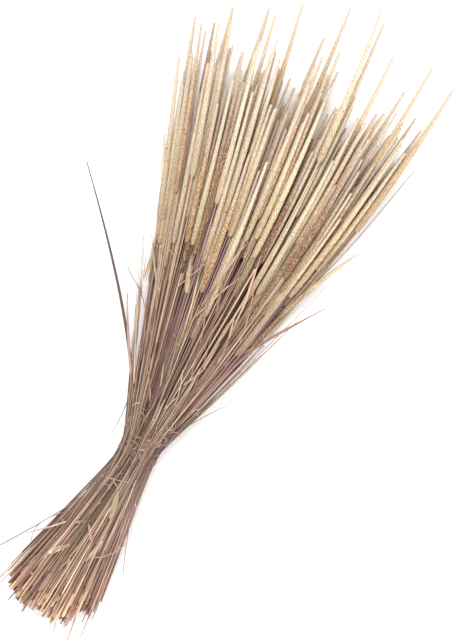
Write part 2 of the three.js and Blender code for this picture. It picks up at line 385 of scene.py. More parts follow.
def raise_spikelets(spike, stand_out, seed):
    """Every second point of every ring becomes a spikelet that stands out and points to the tip."""
    crests = np.zeros(len(spike.data.vertices))
    for vertex in spike.data.vertices:
        ring = round(vertex.co.y / SPIKE_MASTER_LENGTH * SPIKE_ROWS)
        column = round(math.atan2(vertex.co.z, vertex.co.x) / math.tau * SPIKE_COLUMNS)
        crests[vertex.index] = 0 < ring < SPIKE_ROWS and (ring + column) % 2 == 0
    with editing(spike):
        pick(spike, "VERT", lambda vertex: crests[vertex.index])
        bpy.ops.transform.resize(value=(stand_out, 1, stand_out), center_override=(0, 0, 0))
        bpy.ops.transform.translate(value=(0, 0.5 * MM, 0))
        bpy.ops.transform.vertex_random(offset=0.28 * MM, seed=seed)
    return crests


def model_inner_spike(name):
    """A plainer spike for the inside of the bundle, with raised rings for its spikelets."""
    rows = 36
    spike = add_rod(name, 8, SPIKE_MASTER_RADIUS, SPIKE_MASTER_LENGTH, rows, 2)
    stations = even_stations(rows)
    radii = [spike_share(s) * (1.04 if i % 2 else 0.9) for i, s in enumerate(stations)]
    shape_rings(spike, SPIKE_MASTER_LENGTH, stations, radii)
    raised = [round(v.co.y / SPIKE_MASTER_LENGTH * rows) % 2 for v in spike.data.vertices]
    # The sunk rings get part of the painted shade between the spikelets, the raised rings none.
    mark_grain(spike, SPIKE_MASTER_LENGTH, 0.55 + 0.45 * np.array(raised))
    bpy.ops.object.shade_smooth()
    return spike


def culm_stations(form):
    """Ring stations of a culm, close together where a sheath begins and ends."""
    stations = even_stations(24)
    for start, end in form:
        stations += [start - 0.006, start, start + 0.004, end - 0.02, end, end + 0.0015]
    return sorted(set(stations))


def sheath_share(share, form):
    """1 under a leaf sheath, 0 on the bare culm and between the two at a node."""
    for start, end in form:
        if start - 0.001 <= share <= end + 0.0001:
            return 1.0
        if start - 0.0065 <= share < start - 0.001:
            return NODE_MARK
    return 0.0


def model_culm(name, form):
    """One culm along +Y, with its nodes, its sheaths and a hollow cut end."""
    stations = culm_stations(form)
    culm = add_rod(name, 8, CULM_MASTER_RADIUS, CULM_MASTER_LENGTH, len(stations) - 1, 6)
    sheath = [sheath_share(share, form) for share in stations]
    radii = [NODE_SHARE if s == NODE_MARK else 1 + SHEATH_THICKNESS * s for s in sheath]
    shape_rings(culm, CULM_MASTER_LENGTH, stations, radii)
    hollow_end(culm)
    places = [v.co.y / CULM_MASTER_LENGTH for v in culm.data.vertices]
    mark_grain(culm, CULM_MASTER_LENGTH, np.interp(places, stations, sheath))
    bpy.ops.object.shade_smooth_by_angle(angle=SMOOTH_BELOW)
    return culm


def hollow_end(culm):
    """The cut end is a thin wall around a hollow."""
    with editing(culm):
        pick(culm, "FACE", lambda face: len(face.verts) > 4 and face.calc_center_median().y < 1e-4)
        bpy.ops.mesh.inset(thickness=0.3 * MM)
        bpy.ops.mesh.inset(thickness=0.05 * MM, depth=-3 * MM)


def model_straw(name):
    """A thin straw along +Y: a broken culm or a rolled leaf."""
    rows = 24
    straw = add_rod(name, 5, CULM_MASTER_RADIUS, CULM_MASTER_LENGTH, rows, 3)
    stations = even_stations(rows)
    shape_rings(straw, CULM_MASTER_LENGTH, stations, [1 - 0.75 * s**3 for s in stations])
    mark_grain(straw, CULM_MASTER_LENGTH, 0)
    bpy.ops.object.shade_smooth()
    return straw


def model_ribbon(name, width, length, fold, turns):
    """A dry leaf along +Y: long, thin, pointed, folded along its middle and twisted."""
    rows = 28
    deselect_all()
    bpy.ops.mesh.primitive_grid_add(
        x_subdivisions=4, y_subdivisions=rows, size=1, location=(0, length / 2, 0)
    )
    ribbon = bpy.context.object
    ribbon.name = name
    ribbon.scale = (width, length, 1)
    bpy.ops.object.transform_apply(location=True, rotation=True, scale=True)
    with editing(ribbon):
        for lane in (-1, 1):
            pick(ribbon, "VERT", lambda vertex: vertex.co.x * lane > 0.4 * width)
            rise = 0.5 * fold * width
            bpy.ops.transform.translate(value=(-lane * 0.4 * rise, 0, rise))
    stations = even_stations(rows)
    swell = [min(0.5, 0.12 + 1.4 * s, 1.04 - s) for s in stations]
    radii = [max(RIBBON_LEAST, math.sin(math.pi * share) ** 0.8) for share in swell]
    shape_rings(ribbon, length, stations, radii)
    wall = ribbon.modifiers.new("Wall", "SOLIDIFY")
    wall.thickness = 0.28 * MM
    wall.offset = 0
    apply_modifier(ribbon, wall)
    twist_along(ribbon, turns * math.tau)
    ribbon.rotation_euler = (0, math.pi / 2, 0)  # so that its broad side faces up once it is bent
    bpy.ops.object.transform_apply(location=True, rotation=True, scale=True)
    mark_grain(ribbon, length, 1)
    drop_bake_map(ribbon)
    bpy.ops.object.shade_smooth_by_angle(angle=SMOOTH_BELOW)
    return ribbon


def route_curve(points, radii):
    """A smooth curve that follows its points, with a radius at each."""
    curve = bpy.data.curves.new("route", "CURVE")
    curve.dimensions = "3D"
    line = curve.splines.new("NURBS")
    line.points.add(len(points) - 1)
    for knot, point, radius in zip(line.points, points, radii):
        knot.co = (*point, 1)
        knot.radius = radius
    line.order_u = 4
    line.use_endpoint_u = True
    return curve


def copy_along(master, name, points, radii, chance, look):
    """A copy of a straight piece, with a mesh of its own, bent along a line of points."""
    piece = add_object(name, master.data.copy())
    piece.data.name = name
    guide = route_curve(points, radii)
    guide.twist_mode = "Z_UP"
    guide.use_radius = True
    guide.use_stretch = True
    guide.use_deform_bounds = True
    guide.resolution_u = 8
    path = add_object("guide", guide)
    bend = piece.modifiers.new("Bend", "CURVE")
    bend.object = path
    bend.deform_axis = "POS_Y"
    apply_modifier(piece, bend)
    bpy.data.objects.remove(path)
    bpy.data.curves.remove(guide)
    tint(piece, chance, look)
    return piece


def strand(name, points, radius):
    """A thin strand: a round tapering thread along its points."""
    last = len(points) - 1
    curve = route_curve(points, [1 - 0.55 * (index / last) ** 2 for index in range(last + 1)])
    curve.bevel_depth = radius
    curve.bevel_resolution = 1
    curve.resolution_u = 5
    curve.use_fill_caps = True
    make_active(add_object(name, curve))
    bpy.ops.object.convert(target="MESH")
    piece = bpy.context.object
    mark_grain(piece, 0.1, 1)
    drop_bake_map(piece)
    return piece


def tint(piece, chance, look):
    """Gives a copy its own colour family and brightness, and its own run of streaks."""
    looks, grain = (piece.data.attributes[key].data for key in ("look", "grain"))
    values = values_of(looks, "color", 4)
    values[:, :2] = look
    looks.foreach_set("color", values.ravel())
    shift = [chance.uniform(0, 90) for _ in range(3)]
    grain.foreach_set("vector", (values_of(grain, "vector", 3) + shift).ravel())


def join_pieces(pieces, name):
    """Joins like pieces into one, each with a cell of its own in the bake map."""
    across = math.ceil(math.sqrt(len(pieces) / 6))
    down = math.ceil(len(pieces) / across)
    for index, piece in enumerate(pieces):
        if "OFBake" in piece.data.uv_layers:
            bake_map = piece.data.uv_layers["OFBake"].data
            cell = ((index % across) / across, (index // across) / down)
            uv = values_of(bake_map, "uv", 2) * (1 / across, 1 / down) + cell
            bake_map.foreach_set("uv", uv.ravel())
    make_active(pieces[0])
    for piece in pieces:
        piece.select_set(True)
    bpy.ops.object.join()
    pieces[0].name = pieces[0].data.name = name
    return pieces[0]


def finish_piece(piece, slot, nodes=()):
    """Gives a finished piece its material, lets it ride with the bundle and hides the frame nodes that it
    stands for.
    """
    piece.data.materials.clear()
    piece.data.materials.append(finishes()[slot])
    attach(piece, "root")
    for node in nodes:
        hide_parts(node)


# ---- Lines that the stems follow ----


class FrameStem:
    """The centre line of one stem of the frame, read from the rings of its mesh."""

    def __init__(self, name):
        self.name = name
        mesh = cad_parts[name].data
        corners = np.unique(np.round([v.co[:] for v in mesh.vertices], 6), axis=0)
        levels = np.unique(np.round(corners[:, 1], 5))
        rings = []
        for level in levels:
            ring = corners[np.abs(corners[:, 1] - level) < 2e-5]
            centre = ring.mean(axis=0)
            rings.append([*centre, np.hypot(ring[:, 0] - centre[0], ring[:, 2] - centre[2]).mean()])
        self.rings = np.array(rings)

    def at(self, y):
        """Where the line passes at y, running straight on past both ends."""
        rings = self.rings
        x = np.interp(y, rings[:, 1], rings[:, 0])
        z = np.interp(y, rings[:, 1], rings[:, 2])
        for end, inner in ((0, 2), (-1, -4)):
            over = y - rings[end, 1]
            if over * (1 if end else -1) > 0:
                run = (rings[end] - rings[inner]) / (rings[end, 1] - rings[inner, 1])
                x, z = rings[end, 0] + run[0] * over, rings[end, 2] + run[2] * over
        return np.array([x, z])


STEMS = [FrameStem(name) for name in STEM_NODES]
WAIST_PLACES = np.array([stem.at(TIE.y) for stem in STEMS])
THROAT_CENTRE = WAIST_PLACES.mean(axis=0)
THROAT_HALF = np.abs(WAIST_PLACES - THROAT_CENTRE).max(axis=0)
NEIGHBOURS = 4


@functools.lru_cache(maxsize=None)
def spread_at(y):
    """How much wider and higher the bundle is at y than at its waist."""
    places = np.array([stem.at(y) for stem in STEMS])
    return places.std(axis=0) / WAIST_PLACES.std(axis=0)


def line_through(place, levels):
    """The line of an added stem: it follows its neighbours and keeps its place among them."""
    away = np.linalg.norm(WAIST_PLACES - place, axis=1)
    near = np.argsort(away)[:NEIGHBOURS]
    weights = 1 / (away[near] + 0.5 * MM) ** 2
    weights /= weights.sum()
    points = []
    for y in levels:
        spread = spread_at(y)
        passes = [STEMS[i].at(y) + spread * (place - WAIST_PLACES[i]) for i in near]
        x, z = weights @ np.array(passes)
        points.append([x, y, z])
    return np.array(points)


def at_waist(turn, reach):
    """A place at the waist: its turn from +X, and how far out it lies across and upwards."""
    return THROAT_CENTRE + reach * np.array([math.cos(turn), math.sin(turn)])


def scatter_places(chance, count, taken, least=0.0, turns=(0, math.tau), tries=40):
    """Places at the waist that keep as far as they can from those taken."""
    taken = [np.array(place) for place in taken]
    chosen = []
    while len(chosen) < count:
        best, best_gap = None, -1
        for _ in range(tries):
            turn, out = chance.uniform(*turns), math.sqrt(chance.uniform(least**2, 0.96))
            place = at_waist(turn, THROAT_HALF * out)
            gap = min(np.linalg.norm(place - other) for other in taken)
            if gap > best_gap:
                best, best_gap = place, gap
        taken.append(best)
        chosen.append(best)
    return chosen


def above_surface(points, radii):
    """Lifts a line so that its piece lies on the surface, not in it."""
    return [[x, y, max(z, radius)] for (x, y, z), radius in zip(points, radii)]


def top_height(x, y):
    """Height of the highest stem of the frame near a place."""
    passes = [stem.at(y) for stem in STEMS]
    near = [z for across, z in passes if abs(across - x) < 6 * MM]
    return max(near) if near else max(passes, key=lambda place: -abs(place[0] - x))[1]


def crossing_line(start, end, levels):
    """A line that begins at one place among the stems and ends at another."""
    share = np.linspace(0, 1, len(levels))[:, None]
    return ((1 - share) * line_through(start, levels) + share * line_through(end, levels)).tolist()


def over_tie(chance, turn):
    """Two places just outside the thread, a little apart, for what lies over it."""
    reach = THROAT_HALF + chance.uniform(2.4, 3.4) * MM
    return [at_waist(turn, reach), at_waist(turn + chance.uniform(-0.25, 0.25), reach)]


def culm_levels(butt, end):
    """Where the line of a culm is taken, from its butt to within 10 mm of its end."""
    levels = [TIE.y + level * MM for level in (-52, -30, -15, -6, 6, 15, 30, 58, 98, 150, 215, 280)]
    below = [level for level in levels if level < end - 10 * MM]
    return [butt, (butt + TIE.y) / 2 - 20 * MM, *below]


def placed(route):
    """Points of a route given by station, place across and height in millimetres."""
    return [(TIE.x + across * MM, TIE.y + station * MM, height * MM) for station, across, height in route]


def sway(points, chance, amount):
    """A little unevenness across a line, so that no two stems run quite alike."""
    across, lift = chance.uniform(0, math.tau), chance.uniform(0, math.tau)
    wave = chance.uniform(45, 90) * MM
    return [
        [x + amount * math.sin(y / wave + across), y, z + 0.6 * amount * math.sin(y / wave + lift)]
        for x, y, z in points
    ]


# ---- Materials ----


class Finish:
    """A material under way: its nodes, and the tone that they have mixed so far."""

    def __init__(self, name):
        self.material = bpy.data.materials.new(name)
        self.material.use_nodes = True
        self.tree = self.material.node_tree
        self.tree.nodes.clear()
        self.shader = self.node("ShaderNodeBsdfPrincipled")
        self.node("ShaderNodeOutputMaterial", {"Surface": self.shader.outputs["BSDF"]})
        self.tone = None

    def node(self, kind, values=(), **settings):
        """Adds a node, sets its settings and fills its inputs with values or links."""
        node = self.tree.nodes.new(kind)
        for key, value in settings.items():
            setattr(node, key, value)
        for key, value in dict(values).items():
            self.fill(node.inputs[key], value)
        return node

    def fill(self, socket, value):
        if isinstance(value, bpy.types.NodeSocket):
            self.tree.links.new(value, socket)
        else:
            socket.default_value = (*value, 1) if socket.type == "RGBA" else value

    def place(self):
        return self.node("ShaderNodeTexCoord").outputs["Object"]

    def look(self):
        """Colour family, brightness, share of the length, and mark of a piece's points."""
        look = self.node("ShaderNodeAttribute", attribute_name="look")
        split = self.node("ShaderNodeSeparateColor", {"Color": look.outputs["Color"]})
        return *split.outputs[:3], look.outputs["Alpha"]

    def noise(self, scale, detail=3.0, roughness=0.6, stretch=None):
        """Noise all round, or one that follows the piece and is drawn out along it."""
        vector = self.place() if stretch is None else self.grain(stretch)
        values = {"Vector": vector, "Scale": scale, "Detail": detail, "Roughness": roughness}
        return self.node("ShaderNodeTexNoise", values).outputs["Fac"]

    def grain(self, stretch):
        grain = self.node("ShaderNodeAttribute", attribute_name="grain").outputs["Vector"]
        drawn_out = self.node("ShaderNodeMapping", {"Vector": grain, "Scale": (1, 1, stretch)})
        return drawn_out.outputs["Vector"]

    def ramp(self, factor, *stops):
        """A colour ramp, each stop a position with a colour or a grey level."""
        node = self.node("ShaderNodeValToRGB", {"Fac": factor})
        elements = node.color_ramp.elements
        while len(elements) < len(stops):
            elements.new(0.5)
        for element, (position, colour) in zip(elements, stops):
            element.position = position
            element.color = (*(colour if hasattr(colour, "__len__") else [colour] * 3), 1)
        return node.outputs["Color"]

    def mix(self, kind, factor, one, two):
        values = {0: factor, 6: one, 7: two}  # the mix node's factor and its two colours
        return self.node("ShaderNodeMix", values, data_type="RGBA", blend_type=kind).outputs[2]

    def shade(self, colour, share=1.0):
        """Multiplies the tone by a colour."""
        self.tone = self.mix("MULTIPLY", share, self.tone, colour)

    def cover(self, share, colour):
        """Lays a colour over a share of the tone."""
        self.tone = self.mix("MIX", share, self.tone, colour)

    def bump(self, height, strength, distance):
        values = {"Height": height, "Strength": strength, "Distance": distance}
        normal = self.node("ShaderNodeBump", values).outputs["Normal"]
        self.fill(self.shader.inputs["Normal"], normal)

    def done(self, **values):
        """Gives the shader its tone and its other values."""
        self.fill(self.shader.inputs["Base Color"], self.tone)
        for key, value in values.items():
            self.fill(self.shader.inputs[key.replace("_", " ")], value)
        return self.material


def spike_finish(colours):
    """Ripe spikelets: pale chaffy crests with painted shade in the gaps between them, each spike with a
    tone of its own.
    """
    finish = Finish("ripe_spikelets")
    family, light, along, crest = finish.look()
    finish.tone = finish.ramp(
        family,
        (0.0, colours.spike_pale),
        (0.34, colours.spike_cream),
        (0.55, colours.spike_straw),
        (0.78, colours.spike_golden),
        (1.0, colours.spike_brown),
    )
    finish.shade(finish.ramp(finish.noise(28.0, 2.0), (0.3, 0.93), (0.7, 1.08)))
    finish.shade(finish.ramp(light, (0.0, (0.74, 0.72, 0.7)), (1.0, 1.06)))
    speckle = finish.noise(620.0, 3.0, 0.7)
    finish.shade(finish.ramp(speckle, (0.34, (0.62, 0.5, 0.4)), (0.56, 1.06)), 0.8)
    brown = finish.ramp(family, (0.6, 0.0), (0.9, 1.0))
    grains = finish.noise(620.0, 1.0, 0.5)
    finish.shade(finish.ramp(grains, (0.4, (0.62, 0.5, 0.42)), (0.62, (1.38, 1.45, 1.48))), brown)
    low_end = (0.70, 0.62, 0.53)
    finish.shade(finish.ramp(along, (0.0, low_end), (0.3, (0.88, 0.85, 0.8)), (0.6, 1.03)))
    fleck = finish.ramp(finish.noise(260.0, 2.0), (0.62, 0.0), (0.74, 0.8))
    finish.cover(fleck, colours.spike_fleck)
    finish.cover(finish.ramp(along, (0.5, 0.0), (1.0, 0.75)), colours.spike_tip)
    # Painted shade: the gaps between the spikelets are darkened, brown spikes more than pale ones, while
    # the crests keep their tone.
    painted_gap_shade = finish.mix("MIX", brown, PALE_GAP_PAINTED_SHADE, colours.spike_gap)
    gap = finish.mix("MULTIPLY", 1.0, finish.tone, painted_gap_shade)
    shown = finish.ramp(crest, (0.12, 0.0), (0.8, 1.0))
    finish.tone = finish.mix("MIX", shown, gap, finish.tone)
    finish.bump(finish.noise(1500.0, 2.0), 0.5, 0.3 * MM)
    return finish.done(Roughness=0.78, Sheen_Weight=0.2, Sheen_Roughness=0.5)


def culm_finish(colours):
    """Dry culms: satin straw with long streaks, mauve stretches, dark nodes and pale sheaths."""
    finish = Finish("dry_culms")
    family, light, along, sheath = finish.look()
    finish.tone = finish.ramp(
        family,
        (0.0, colours.culm_straw),
        (0.28, colours.culm_tan),
        (0.5, colours.culm_mauve),
        (0.72, colours.culm_olive),
        (0.88, colours.culm_dark),
        (1.0, colours.culm_pale),
    )
    stretches = finish.ramp(finish.noise(0.8, 2.0, stretch=0.5), (0.42, 0.0), (0.6, 1.0))
    finish.cover(stretches, finish.mix("MULTIPLY", 1.0, finish.tone, colours.culm_shade))
    covered = finish.mix("MIX", 0.3, finish.tone, colours.sheath)
    finish.cover(finish.ramp(sheath, (0.6, 0.0), (0.9, 1.0)), covered)
    node_ring = finish.ramp(sheath, (0.1, 0.0), (0.3, 0.8), (0.6, 0.8), (0.8, 0.0))
    finish.cover(node_ring, colours.culm_node)
    finish.shade(finish.ramp(along, (0.0, (1.38, 1.34, 1.26)), (0.14, 0.98), (0.5, 0.94)))
    station = finish.node("ShaderNodeSeparateXYZ", {"Vector": finish.place()}).outputs["Y"]
    reach = {"Value": station, "From Min": TIE.y - 0.12, "From Max": TIE.y + 0.14}
    near_tie = finish.node("ShaderNodeMapRange", reach).outputs["Result"]
    finish.shade(finish.ramp(near_tie, (0.0, 1.0), (0.42, 0.72), (0.58, 0.72), (1.0, 1.0)))
    streaks = finish.noise(3.2, 3.0, 0.7, 0.06)
    finish.shade(finish.ramp(streaks, (0.3, (0.62, 0.54, 0.5)), (0.62, 1.15)), 0.9)
    dim, middling, bright = (0.42, 0.32, 0.29), (0.85, 0.8, 0.79), (1.34, 1.34, 1.32)
    finish.shade(finish.ramp(light, (0.0, dim), (0.45, middling), (1.0, bright)))
    finish.bump(finish.noise(5.0, stretch=0.05), 0.6, 0.25 * MM)
    return finish.done(Roughness=finish.ramp(finish.noise(2.0, stretch=0.5), (0.3, 0.42), (0.7, 0.7)))


def leaf_finish(colours):
    """Dry leaf: papery, ribbed lengthwise, straw with rosy and grey-brown stretches."""
    finish = Finish("dry_leaf")
    family, light, _, _ = finish.look()
    finish.tone = finish.ramp(
        family,
        (0.0, colours.leaf_dark),
        (0.45, colours.leaf_rosy),
        (0.8, colours.leaf_olive),
        (1.0, colours.leaf_pale),
    )
    finish.shade(finish.ramp(finish.noise(5.0, 3.0, 0.7, 0.05), (0.3, 0.6), (0.65, 1.1)), 0.9)
    finish.shade(finish.ramp(light, (0.0, (0.5, 0.42, 0.38)), (1.0, 1.2)))
    finish.bump(finish.noise(7.0, stretch=0.04), 0.7, 0.2 * MM)
    return finish.done(Roughness=0.68)


def tie_finish(colours):
    """Natural thread: straw fibres with darker twists."""
    finish = Finish("natural_thread")
    values = {"Vector": finish.place(), "Scale": 420.0, "Distortion": 2.0, "Detail": 2.0}
    twist = finish.node("ShaderNodeTexWave", values, bands_direction="DIAGONAL").outputs["Fac"]
    finish.tone = finish.ramp(twist, (0.2, colours.tie_shade), (0.8, colours.tie))
    finish.shade(finish.ramp(finish.noise(900.0), (0.3, 0.75), (0.7, 1.1)), 0.8)
    finish.bump(twist, 0.5, 0.2 * MM)
    return finish.done(Roughness=0.8)


def floor_finish(colour):
    """A plain pale floor with a barely seen unevenness."""
    finish = Finish("pale_floor")
    darker = [0.985 * channel for channel in colour]
    finish.tone = finish.ramp(finish.noise(3.0), (0.3, darker), (0.7, colour))
    return finish.done(Roughness=0.9)


# ---- Settings ----


def length_setting(name, description, default):
    return bpy.props.FloatProperty(
        name=name, description=description, default=default, min=0, unit="LENGTH", precision=4
    )


def count_setting(name, description, default):
    return bpy.props.IntProperty(name=name, description=description, default=default, min=0)


def colour_setting(name, description, default):
    return bpy.props.FloatVectorProperty(
        name=name, description=description, default=default, subtype="COLOR", size=3, min=0, max=1
    )


class TimothyStemSettings(bpy.types.PropertyGroup):
    """Numbers and sizes of the stems."""

    filler_count: count_setting("Filler stems", "Stems added between those of the frame", 132)
    top_count: count_setting("Upper stems", "Stems added along the upper side of the bundle", 92)
    flank_count: count_setting("Flank stems", "Stems added along the right flank of the bundle", 30)
    straw_count: count_setting("Thin straws", "Broken culms and rolled leaves without a spike", 280)
    spike_radius: length_setting("Spike radius", "Radius of a ripe spike over its spikelets", 3.4 * MM)
    filler_spike_radius: length_setting("Filler spike radius", "Radius of the added spikes", 3.2 * MM)
    butt_radius: length_setting("Culm radius", "Radius of an added culm at its cut end", 1.3 * MM)
    straw_radius: length_setting("Straw radius", "Radius of a thin straw", 0.62 * MM)
    seed: count_setting("Seed", "Start of the random scatter", 7)


class TimothyLooseSettings(bpy.types.PropertyGroup):
    """Loose leaves and fibres."""

    blade_width: length_setting("Blade width", "Width of a loose leaf blade", 4.2 * MM)
    ribbon_count: count_setting("Sheath leaves", "Dry leaves that lie along the stems", 60)
    curl_count: count_setting("Fibre curls", "Small pale curls of fibre on the stems", 96)


class TimothyColours(bpy.types.PropertyGroup):
    """Colours of the dried grass, its tie and the floor."""

    spike_pale: colour_setting("Pale spike", "Palest spikes", (0.83, 0.735, 0.575))
    spike_cream: colour_setting("Cream spike", "Cream-green spikes", (0.77, 0.695, 0.51))
    spike_straw: colour_setting("Straw spike", "Straw spikes", (0.77, 0.63, 0.43))
    spike_golden: colour_setting("Golden spike", "Golden tan spikes", (0.68, 0.485, 0.295))
    spike_brown: colour_setting("Brown spike", "Brown grainy spikes", (0.33, 0.19, 0.122))
    spike_tip: colour_setting("Spike tip", "Beige of the spikes' tips", (0.80, 0.69, 0.58))
    spike_fleck: colour_setting("Spike fleck", "Pale chaff on the spikelets", (0.82, 0.74, 0.58))
    # painted shade between the spikelets, darkest on the brown spikes
    spike_gap: colour_setting("Painted gap shade", "Tint between the spikelets", (0.36, 0.25, 0.17))
    culm_straw: colour_setting("Straw culm", "Straw-coloured culms", (0.60, 0.47, 0.31))
    culm_tan: colour_setting("Tan culm", "Tan culms", (0.50, 0.345, 0.25))
    culm_mauve: colour_setting("Mauve culm", "Mauve-brown culms", (0.36, 0.225, 0.24))
    culm_olive: colour_setting("Olive culm", "Olive-tan culms", (0.48, 0.39, 0.235))
    culm_dark: colour_setting("Dark culm", "Dark purple-brown culms", (0.12, 0.056, 0.044))
    culm_pale: colour_setting("Pale culm", "Palest culms", (0.66, 0.52, 0.38))
    culm_shade: colour_setting("Culm stretch tint", "Tint of the mauve stretches", (0.70, 0.59, 0.64))
    culm_node: colour_setting("Culm node", "Dark rings at the nodes", (0.16, 0.09, 0.05))
    sheath: colour_setting("Leaf sheath", "Sheaths around the culms", (0.54, 0.39, 0.28))
    leaf_dark: colour_setting("Dark leaf", "Grey-brown dry leaf", (0.17, 0.12, 0.10))
    leaf_rosy: colour_setting("Rosy leaf", "Rosy tan dry leaf", (0.50, 0.31, 0.235))
    leaf_olive: colour_setting("Olive leaf", "Olive-straw dry leaf", (0.50, 0.42, 0.25))
    leaf_pale: colour_setting("Pale leaf", "Pale straw dry leaf", (0.64, 0.49, 0.35))
    tie: colour_setting("Tie", "Natural thread", (0.38, 0.25, 0.18))
    tie_shade: colour_setting("Tie shade", "Darker twists of the thread", (0.16, 0.09, 0.065))
    floor: colour_setting("Floor", "Plain pale floor", (0.93, 0.93, 0.93))


class TimothyStageSettings(bpy.types.PropertyGroup):
    """Camera and light."""

    camera_turn: bpy.props.FloatProperty(
        name="Camera turn",
        description="Turn of the camera about the vertical",
        default=math.radians(26),
        subtype="ANGLE",
    )
    camera_height: length_setting("Camera height", "Height of the camera over the surface", 2.5)
    frame_height: length_setting("Frame height", "Height of the picture at the middle of the bundle", 0.64)
    key_power: bpy.props.FloatProperty(
        name="Key light", description="Power of the main soft light", default=42, unit="POWER"
    )
    fill_power: bpy.props.FloatProperty(
        name="Fill light", description="Power of the fill light", default=18, unit="POWER"
    )
    world_strength: bpy.props.FloatProperty(
        name="Sky", description="Strength of the pale surroundings", default=1.0
    )


# ---- Operators ----

SHARED = {}  # materials and masters that several operators use
GROUP_OF_STEMS, GROUP_OF_STRAWS = 12, 28  # how many are joined in one piece
OUTSIDE = 1.12  # how far out leaves and fibres lie, where 1 is the outermost stem
BUNDLE_MIDDLE = 45 * MM  # height that the picture's size is measured at
CAMERA_PLACE = (0.0557, 0.0110)
FLOOR_SIZE = 9
KEY_LIGHT = (0.9, (-0.45, 0.5, 2.2))  # size and place
FILL_LIGHT = (1.6, (1.3, -0.5, 1.6))
BLADE_SEED, LEAF_SEED, FIBRE_SEED, STRAND_SEED, FLAKE_SEED = 11, 23, 31, 41, 53


def masters():
    """The straight pieces that are copied, modelled once."""
    if "spikes" not in SHARED:
        SHARED["spikes"] = [model_spike(f"spike_master_{i}", i) for i in range(3)]
        SHARED["inner"] = [model_inner_spike("spike_master_inner")]
        SHARED["culms"] = [model_culm(f"culm_master_{i}", form) for i, form in enumerate(CULM_FORMS)]
        SHARED["straws"] = [model_straw("straw_master")]
    return SHARED


def finishes():
    """The materials of the dried grass, made once."""
    if "spike" not in SHARED:
        colours = bpy.context.scene.timothy_colours
        SHARED["spike"] = spike_finish(colours)
        SHARED["culm"] = culm_finish(colours)
        SHARED["leaf"] = leaf_finish(colours)
        SHARED["tie"] = tie_finish(colours)
    return SHARED


def spike_look(chance):
    """Colour family and brightness of one spike: most are pale, some golden, some brown."""
    family = chance.choices([*SPIKE_FAMILIES], weights=[*SPIKE_FAMILIES.values()])[0]
    return min(1, max(0, family + chance.uniform(-0.1, 0.1))), chance.uniform(0.15, 1)


def culm_look(chance):
    """Colour family and brightness of one culm or straw."""
    family = chance.choices([*CULM_FAMILIES], weights=[*CULM_FAMILIES.values()])[0]
    light = chance.choice([chance.uniform(*reach) for reach in ((0, 0.25), (0.25, 0.75), (0.6, 1))])
    return min(1, max(0, family + chance.uniform(-0.05, 0.05))), light


class TIMOTHY_OT_spikes(bpy.types.Operator):
    """Model the spike of every stem of the frame"""

    bl_idname = "timothy.spikes"
    bl_label = "Spikes"

    def execute(self, context):
        settings = context.scene.timothy_stems
        chance = random.Random(settings.seed)
        for index, stem in enumerate(STEMS):
            rings = stem.rings[-SPIKE_RINGS:]
            size = settings.spike_radius * chance.uniform(0.92, 1.06)
            points = above_surface(rings[:, :3].tolist(), [size * 0.9] * len(rings))
            radii = [size / SPIKE_MASTER_RADIUS * chance.uniform(0.97, 1.03) for _ in points]
            master = masters()["spikes"][index % 3]
            name = stem.name.replace("stem", "spike")
            family, light = spike_look(chance)
            if rings[-1, 1] > SPIKE_END - LEADER_REACH:
                family = min(family, 0.6)
            spike = copy_along(master, name, points, radii, chance, (family, light))
            finish_piece(spike, "spike", [stem.name])
        return {"FINISHED"}


class TIMOTHY_OT_culms(bpy.types.Operator):
    """Model the culm of every stem of the frame"""

    bl_idname = "timothy.culms"
    bl_label = "Culms"

    def execute(self, context):
        settings = context.scene.timothy_stems
        chance = random.Random(settings.seed + 1)
        for index, stem in enumerate(STEMS):
            rings = stem.rings[: 2 - SPIKE_RINGS].copy()
            rings[-2:, 3] = rings[-3, 3]
            rings[0, 3] = rings[1, 3]
            thick = chance.uniform(0.85, 1.2)
            radii = [radius / CULM_MASTER_RADIUS * thick for radius in rings[:, 3]]
            points = sway(rings[:, :3].tolist(), chance, 0.35 * MM)
            points = above_surface(points, rings[:, 3] * thick)
            master = masters()["culms"][(index * 3) % 4]
            name = stem.name.replace("stem", "culm")
            culm = copy_along(master, name, points, radii, chance, culm_look(chance))
            finish_piece(culm, "culm", [stem.name])
        return {"FINISHED"}


